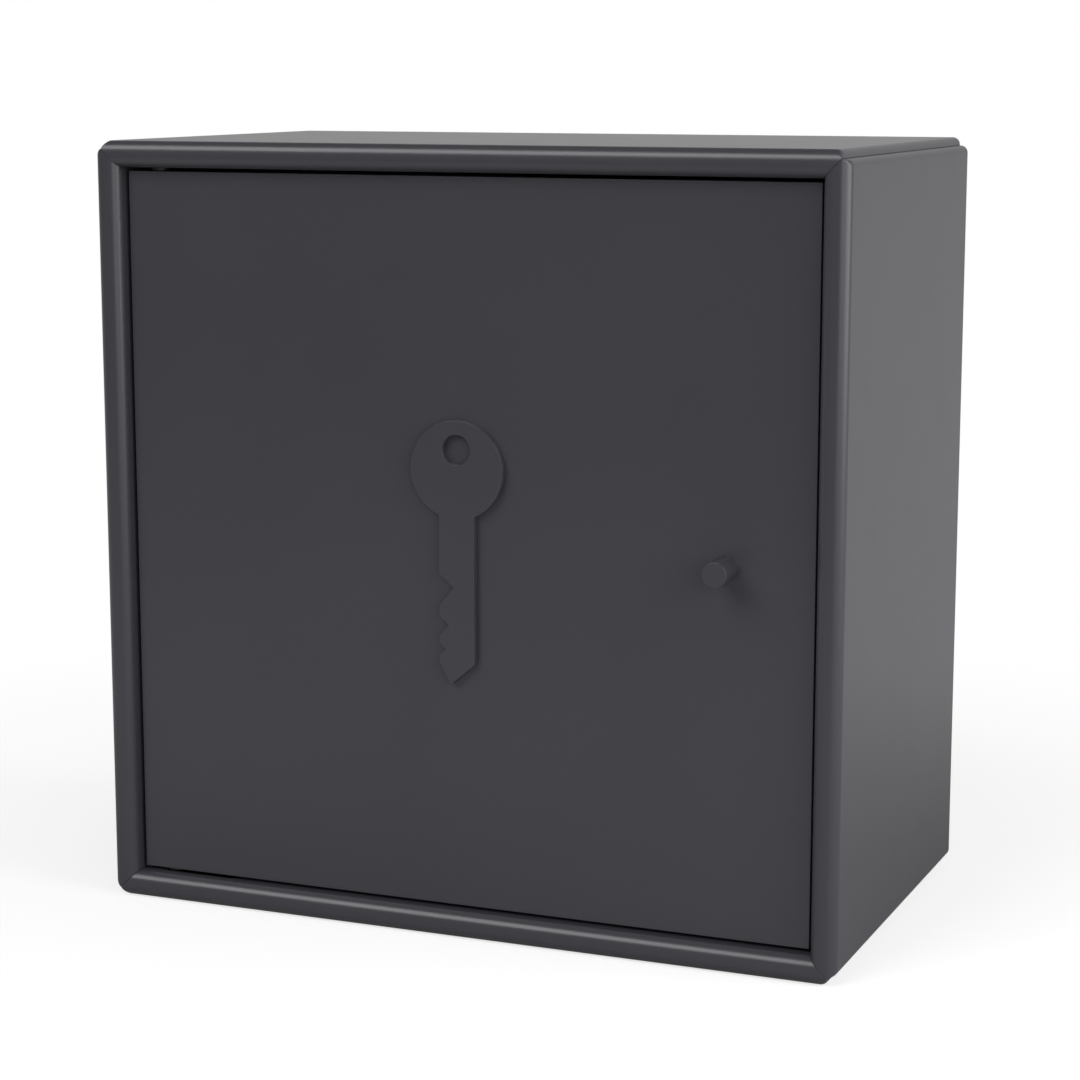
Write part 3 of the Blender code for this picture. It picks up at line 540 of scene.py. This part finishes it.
def aimed(mesh, place, direction):
    """The mesh carried so that its +Z points along a direction from a place."""
    turn = Vector(direction).to_track_quat("Z", "Y").to_matrix().to_4x4()
    mesh.transform(Matrix.Translation(place) @ turn)
    return mesh


def rounded_block(name, low, high, radius, steps=ROUNDING_STEPS):
    """A box's mesh with all its edges rounded."""
    mesh = bpy.data.meshes.new(name)
    shape = bmesh.new()
    size = high - low
    stand = Matrix.Translation((low + high) / 2) @ Matrix.Diagonal((*size, 1))
    bmesh.ops.create_cube(shape, size=1, matrix=stand)
    bmesh.ops.bevel(
        shape,
        geom=shape.edges[:],
        offset=radius,
        offset_type="OFFSET",
        segments=steps,
        profile=0.5,
        affect="EDGES",
    )
    shape.to_mesh(mesh)
    shape.free()
    mesh.shade_smooth()
    return mesh


def make_rails():
    """The two hook rails, boards with all their edges rounded."""
    for level in ("upper", "lower"):
        node = "hook_rail_" + level
        low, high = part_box(node)
        mesh = rounded_block(node + "_board", low, high, RAIL_ROUNDING)
        weighted(add_piece(node + "_board", mesh, node, "anthracite_lacquer"))


def make_hooks():
    """Turned pegs: a tenon in the rail, a collar, a slim stem and a domed head."""
    for level in ("upper", "lower"):
        for number in range(1, HOOKS_PER_RAIL + 1):
            node = "key_hook_" + level + "_" + str(number)
            low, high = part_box(node)
            middle = (low + high) / 2
            collar = (high.x - low.x) / 2
            face_y = high.y - HOOK_TENON_LENGTH
            reach = face_y - low.y
            head = HOOK_HEAD_SHARE * collar
            neck = reach - head
            rim = HOOK_COLLAR_ROUNDING
            collar_top = HOOK_SEAT_GAP + HOOK_COLLAR_THICKNESS
            profile = arc((0, neck), head, 90, HOOK_HEAD_END, HEAD_STEPS)
            profile += [
                (HOOK_STEM_RADIUS, neck - HOOK_NECK_LENGTH),
                (HOOK_STEM_RADIUS, collar_top),
            ]
            profile += arc((collar - rim, collar_top - rim), rim, 90, 0, COLLAR_STEPS)
            profile += [
                (collar, HOOK_SEAT_GAP),
                (HOOK_TENON_RADIUS, HOOK_SEAT_GAP),
                (HOOK_TENON_RADIUS, -HOOK_TENON_LENGTH),
                (0, -HOOK_TENON_LENGTH),
            ]
            mesh = turned(node + "_turned", profile)
            aimed(mesh, (middle.x, face_y, middle.z), (0, -1, 0))
            add_piece(node + "_turned", mesh, node, "satin_nickel")


def make_knob():
    """The door's knob, a round peg with a barely rounded rim."""
    low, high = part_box("door_knob")
    middle = (low + high) / 2
    radius = (high.x - low.x) / 2
    length = high.y - low.y
    rim = (radius - KNOB_ROUNDING, length - KNOB_ROUNDING)
    profile = [(0, length)] + arc(rim, KNOB_ROUNDING, 90, 0, RIM_STEPS) + [(radius, 0), (0, 0)]
    mesh = turned("door_knob_turned", profile, 2 * TURNED_STEPS)
    aimed(mesh, (middle.x, high.y, middle.z), (0, -1, 0))
    weighted(add_piece("door_knob_turned", mesh, "door_knob", "anthracite_lacquer"))


def emblem_outline(bow_radius, blade_length):
    """A house key seen from the side: round bow, straight back, notched blade and skewed tip."""
    half = EMBLEM_SHANK_WIDTH / 2
    join = math.degrees(math.asin(half / bow_radius))
    outline = arc((0, 0), bow_radius, -90 + join, 270 - join, BOW_STEPS)
    for start, deepest, end, depth in EMBLEM_NOTCH_SHARES:
        outline.append((-half, -blade_length * start))
        outline.append((-half + EMBLEM_SHANK_WIDTH * depth, -blade_length * deepest))
        outline.append((-half, -blade_length * end))
    shoulder = -blade_length * EMBLEM_SHOULDER_SHARE
    outline.append((-half, shoulder))
    outline.append((EMBLEM_SHANK_WIDTH * EMBLEM_TIP_SHARE, -blade_length))
    outline.append((half, shoulder))
    return outline


def plate(name, outlines, thickness, arris):
    """A flat plate's mesh in XZ, its faces square to Y, with a small radius round each outline."""
    curve = bpy.data.curves.new(name, "CURVE")
    curve.dimensions = "2D"
    curve.fill_mode = "BOTH"
    curve.extrude = thickness / 2 - arris
    curve.bevel_depth = arris
    curve.bevel_resolution = 2
    curve.offset = -arris
    for outline in outlines:
        spline = curve.splines.new("POLY")
        spline.points.add(len(outline) - 1)
        spline.use_cyclic_u = True
        for point, (across, up) in zip(spline.points, outline):
            point.co = (across, up, 0, 1)
    flat = bpy.data.objects.new(name + "_outline", curve)
    bpy.context.scene.collection.objects.link(flat)
    bpy.context.view_layer.update()
    mesh = bpy.data.meshes.new_from_object(flat.evaluated_get(bpy.context.evaluated_depsgraph_get()))
    bpy.data.objects.remove(flat)
    shape = bmesh.new()
    shape.from_mesh(mesh)
    bmesh.ops.remove_doubles(shape, verts=shape.verts, dist=WELD_DISTANCE)
    bmesh.ops.recalc_face_normals(shape, faces=shape.faces)
    shape.to_mesh(mesh)
    shape.free()
    mesh.transform(Matrix.Rotation(math.pi / 2, 4, "X"))
    return shaded(mesh)


def make_emblem():
    """The key-shaped plate on the door, with the hole in its bow."""
    low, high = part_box("key_emblem")
    bow_radius = (high.x - low.x) / 2
    thickness = high.y - low.y
    blade_length = high.z - low.z - bow_radius
    hole = arc((0, EMBLEM_HOLE_RISE), EMBLEM_HOLE_RADIUS, 0, 360, HOLE_STEPS)[:-1]
    outlines = [emblem_outline(bow_radius, blade_length), hole]
    mesh = plate("key_emblem_plate", outlines, thickness, EMBLEM_ARRIS)
    place = ((low.x + high.x) / 2, (low.y + high.y) / 2, high.z - bow_radius)
    mesh.transform(Matrix.Translation(place))
    weighted(add_piece("key_emblem_plate", mesh, "key_emblem", "anthracite_lacquer"))


def recess_cutter(head_radius, depth):
    """A tapered cross, its mouth at height 0."""
    mesh = bpy.data.meshes.new("Recess")
    shape = bmesh.new()
    arm = head_radius * RECESS_WIDTH_SHARE / 2
    reach = head_radius * RECESS_REACH_SHARE
    tip = arm * RECESS_TAPER_SHARE
    quarter = [(arm, arm), (tip, reach), (-tip, reach)]
    turns = [Matrix.Rotation(turn * math.pi / 2, 2) for turn in range(4)]
    mouth = [turn @ Vector(point) for turn in turns for point in quarter]
    upper = [shape.verts.new((*point, depth)) for point in mouth]
    middle = [shape.verts.new((*point, 0)) for point in mouth]
    lower = [shape.verts.new((*(point * RECESS_TAPER_SHARE), -depth)) for point in mouth]
    shape.faces.new(upper)
    shape.faces.new(lower[::-1])
    for first, second in ((upper, middle), (middle, lower)):
        for i, _ in enumerate(first):
            j = (i + 1) % len(first)
            shape.faces.new((first[i], second[i], second[j], first[j]))
    bmesh.ops.recalc_face_normals(shape, faces=shape.faces)
    shape.to_mesh(mesh)
    shape.free()
    return mesh


def screw_mesh(name, head_radius, length, domed):
    """A screw whose height 0 is a countersunk head's face, or a domed head's underside."""
    shank = head_radius * SCREW_SHANK_SHARE
    if domed:
        head_height = head_radius * PAN_HEIGHT_SHARE
        rim = head_height * PAN_RIM_SHARE
        centre = (head_radius - rim, head_height - rim)
        profile = [(0, head_height)] + arc(centre, rim, 90, 0, RIM_STEPS)
        profile += [(head_radius, 0), (shank, 0)]
        face = head_height
        shank_end = head_height - length
    else:
        head_height = head_radius * SCREW_HEAD_SHARE
        profile = [(0, 0), (head_radius, 0), (shank, -head_height)]
        face = 0
        shank_end = -length
    profile += [(shank, shank_end + 2 * shank), (0, shank_end)]
    blank = bpy.data.objects.new(name, turned(name, profile, TURNED_STEPS))
    recess = recess_cutter(head_radius, head_radius * RECESS_DEPTH_SHARE)
    cutter = bpy.data.objects.new(name + "_recess", recess)
    cutter.location.z = face
    for obj in (blank, cutter):
        bpy.context.scene.collection.objects.link(obj)
    cut = blank.modifiers.new("Recess", "BOOLEAN")
    cut.object = cutter
    bpy.context.view_layer.update()
    mesh = bpy.data.meshes.new_from_object(blank.evaluated_get(bpy.context.evaluated_depsgraph_get()))
    for obj in (blank, cutter):
        bpy.data.objects.remove(obj)
    return shaded(mesh)


# Which way each screw's head faces, and whether the head is domed
SCREWS = {"knob_screw": ((0, 1, 0), True), "strike_screw": ((0, 1, 0), False)}
for side in ("left", "right"):
    for level in ("lower", "upper"):
        SCREWS["rail_screw_" + level + "_" + side] = ((0, 1, 0), False)
        SCREWS["hanger_screw_" + side + "_" + level] = ((1 if side == "left" else -1, 0, 0), True)
for level in ("lower", "upper"):
    SCREWS["catch_screw_" + level] = ((-1, 0, 0), True)
    for leaf in ("carcass", "door"):
        upward = 1 if (level == "lower") == (leaf == "carcass") else -1
        for number in ("1", "2"):
            SCREWS["hinge_leaf_" + level + "_" + leaf + "_screw_" + number] = ((0, 0, upward), False)


def make_screws():
    """Every screw, with a cross recess in its head."""
    for node, (outward, domed) in SCREWS.items():
        low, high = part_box(node)
        middle = (low + high) / 2
        size = high - low
        outward = Vector(outward)
        length = abs(size.dot(outward))
        across = sum(size) - length
        head_radius = across / 4
        face = middle + outward * length / 2
        seat = face - outward * (head_radius * PAN_HEIGHT_SHARE if domed else 0)
        mesh = screw_mesh(node + "_driven", head_radius, length, domed)
        aimed(mesh, seat, outward)
        add_piece(node + "_driven", mesh, node, "zinc_plated_steel")


def make_pins():
    """The two pivot pins, rounded at the end that enters the door's leaf."""
    for level, towards_door in (("lower", (0, 0, 1)), ("upper", (0, 0, -1))):
        node = "pivot_pin_" + level
        low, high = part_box(node)
        radius = (high.x - low.x) / 2
        length = high.z - low.z
        centre = (radius - PIN_ROUNDING, length - PIN_ROUNDING)
        profile = [(0, length)] + arc(centre, PIN_ROUNDING, 90, 0, RIM_STEPS) + [(radius, 0), (0, 0)]
        mesh = turned(node + "_turned", profile)
        middle = (low + high) / 2
        root = Vector((middle.x, middle.y, low.z if level == "lower" else high.z))
        aimed(mesh, root, towards_door)
        add_piece(node + "_turned", mesh, node, "zinc_plated_steel")


make_rails()
make_hooks()
make_knob()
make_emblem()
make_screws()
make_pins()


# Studio


def seen_rays(tree):
    """1 for the rays that show the background, which are camera, glossy and transmission rays."""
    path = tree.nodes.new("ShaderNodeLightPath")
    share = math_node(tree, "MAXIMUM", path.outputs["Is Camera Ray"], path.outputs["Is Glossy Ray"])
    return math_node(tree, "MAXIMUM", share, path.outputs["Is Transmission Ray"])


def straight_rays(tree):
    """1 for the rays that show the background straight or through glass."""
    path = tree.nodes.new("ShaderNodeLightPath")
    return math_node(tree, "MAXIMUM", path.outputs["Is Camera Ray"], path.outputs["Is Transmission Ray"])


def make_world():
    """Plain white for the camera, and a dim room with a pale backdrop low behind the object otherwise.

    Glossy rays see that room and not the white, so that the lacquer stays as dark as it is."""
    world = bpy.data.worlds.new("Studio")
    bpy.context.scene.world = world
    world.use_nodes = True
    tree = world.node_tree
    background = tree.nodes["Background"]
    background.inputs["Color"].default_value = (1, 1, 1, 1)
    place = tree.nodes.new("ShaderNodeTexCoord")
    axes = tree.nodes.new("ShaderNodeSeparateXYZ")
    tree.links.new(place.outputs["Generated"], axes.inputs["Vector"])
    low = remap(tree, axes.outputs["Z"], 1.0, 0.0, BACKDROP_LOW, BACKDROP_HIGH)
    behind = remap(tree, axes.outputs["Y"], 0.0, 1.0, BACKDROP_NEAR, BACKDROP_FAR)
    sideways = remap(tree, axes.outputs["X"], 1.0, BACKDROP_RIGHT_SHARE, BACKDROP_LEFT, BACKDROP_RIGHT)
    backdrop = math_node(tree, "MULTIPLY", math_node(tree, "MULTIPLY", low, behind), sideways)
    room = remap(tree, backdrop, WORLD_STRENGTH, BACKDROP_LEVEL, 0.0, 1.0)
    tree.links.new(math_node(tree, "MAXIMUM", straight_rays(tree), room), background.inputs["Strength"])


def make_floor():
    """A white floor that takes the object's shadow and turns into plain white further away."""
    mesh = bpy.data.meshes.new("studio_floor")
    shape = bmesh.new()
    bmesh.ops.create_circle(shape, cap_ends=True, radius=FLOOR_RADIUS, segments=FLOOR_STEPS)
    shape.to_mesh(mesh)
    shape.free()
    floor = bpy.data.objects.new("studio_floor", mesh)
    floor.location.z = cad_low.z - FLOOR_DROP
    bpy.context.scene.collection.objects.link(floor)
    material = bpy.data.materials.new("studio_floor")
    material.use_nodes = True
    tree = material.node_tree
    tree.nodes.clear()
    output = tree.nodes.new("ShaderNodeOutputMaterial")
    paper = tree.nodes.new("ShaderNodeBsdfDiffuse")
    paper.inputs["Color"].default_value = (FLOOR_TONE, FLOOR_TONE, FLOOR_TONE, 1)
    glow = tree.nodes.new("ShaderNodeEmission")
    blend = tree.nodes.new("ShaderNodeMixShader")
    place = tree.nodes.new("ShaderNodeTexCoord")
    distance = tree.nodes.new("ShaderNodeVectorMath")
    distance.operation = "LENGTH"
    tree.links.new(place.outputs["Object"], distance.inputs[0])
    far = remap(tree, distance.outputs["Value"], 0.0, 1.0, FLOOR_FADE_START, FLOOR_FADE_END)
    share = math_node(tree, "MULTIPLY", far, seen_rays(tree))
    tree.links.new(share, blend.inputs["Fac"])
    straight = straight_rays(tree)
    axes = tree.nodes.new("ShaderNodeSeparateXYZ")
    tree.links.new(place.outputs["Object"], axes.inputs["Vector"])
    mirrored = remap(
        tree, axes.outputs["Y"], MIRRORED_FRONT_SHARE, MIRRORED_BACK_SHARE, MIRRORED_FAR, MIRRORED_NEAR
    )
    tree.links.new(math_node(tree, "MAXIMUM", straight, mirrored), glow.inputs["Strength"])
    lift = tree.nodes.new("ShaderNodeEmission")
    tree.links.new(math_node(tree, "MULTIPLY", straight, FLOOR_GLOW), lift.inputs["Strength"])
    near = tree.nodes.new("ShaderNodeAddShader")
    tree.links.new(paper.outputs["BSDF"], near.inputs[0])
    tree.links.new(lift.outputs["Emission"], near.inputs[1])
    tree.links.new(near.outputs["Shader"], blend.inputs[1])
    tree.links.new(glow.outputs["Emission"], blend.inputs[2])
    tree.links.new(blend.outputs["Shader"], output.inputs["Surface"])
    mesh.materials.append(material)


def softbox(name, place, width, height, radiance):
    """A soft area light that faces the middle of the part, and whose surface has this radiance."""
    light = bpy.data.lights.new(name, "AREA")
    light.shape = "RECTANGLE"
    light.size = width
    light.size_y = height
    light.energy = radiance * math.pi * width * height
    lamp = bpy.data.objects.new(name, light)
    lamp.location = place
    middle = (cad_low + cad_high) / 2
    lamp.rotation_euler = (middle - Vector(place)).to_track_quat("-Z", "Y").to_euler()
    bpy.context.scene.collection.objects.link(lamp)


def make_camera():
    """The camera at the photograph's place."""
    camera = bpy.data.objects.new("camera", bpy.data.cameras.new("camera"))
    camera.data.lens = CAMERA_LENS_MM
    camera.data.sensor_width = CAMERA_SENSOR_MM
    camera.location = CAMERA_PLACE
    camera.rotation_euler = (CAMERA_TILT, 0, CAMERA_TURN)
    bpy.context.scene.collection.objects.link(camera)
    bpy.context.scene.camera = camera


make_world()
make_floor()
for lamp_name, lamp_values in LAMPS.items():
    softbox(lamp_name, *lamp_values)
make_camera()
bpy.context.scene.view_settings.view_transform = "Standard"
